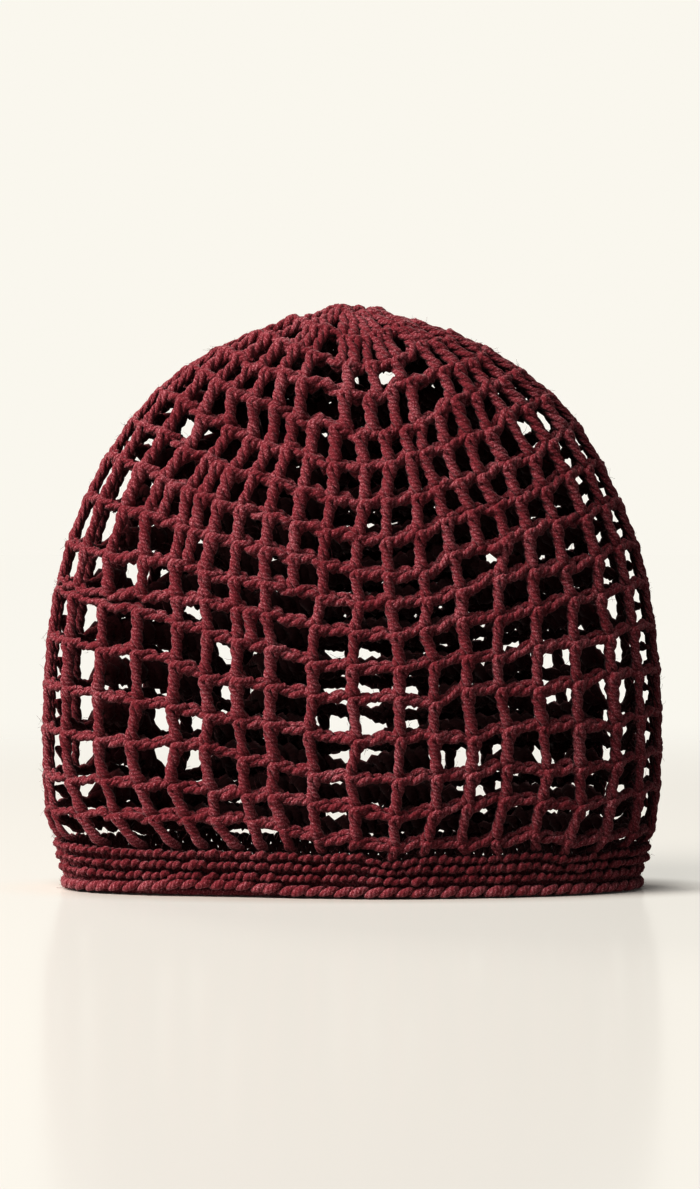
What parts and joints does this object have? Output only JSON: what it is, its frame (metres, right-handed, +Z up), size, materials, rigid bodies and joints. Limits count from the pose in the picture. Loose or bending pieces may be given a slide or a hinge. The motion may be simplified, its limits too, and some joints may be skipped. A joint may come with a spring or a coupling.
{
  "type": "crocheted mesh beanie",
  "caption": "Flattened dome of open crochet mesh, worn as a beanie, with a closed start at the crown, a close-worked band and a braided lower edge. It stands on its open rim.",
  "frame": {"origin": "under the middle of the open rim, on the surface the hat stands on", "axes": "+Z up to the crown, -Y the front that the picture shows, +X across the hat to the picture's right"},
  "size_m": [0.2096, 0.0952, 0.196],
  "materials": {
    "burgundy_yarn": "matte plied yarn in burgundy, crocheted, slightly fuzzy"
  },
  "bodies": {
    "root": {"crown_centre": "burgundy_yarn", "net_upper": "burgundy_yarn", "net_middle": "burgundy_yarn", "net_lower": "burgundy_yarn", "band": "burgundy_yarn", "edge_braid": "burgundy_yarn"}
  },
  "joints": []
}
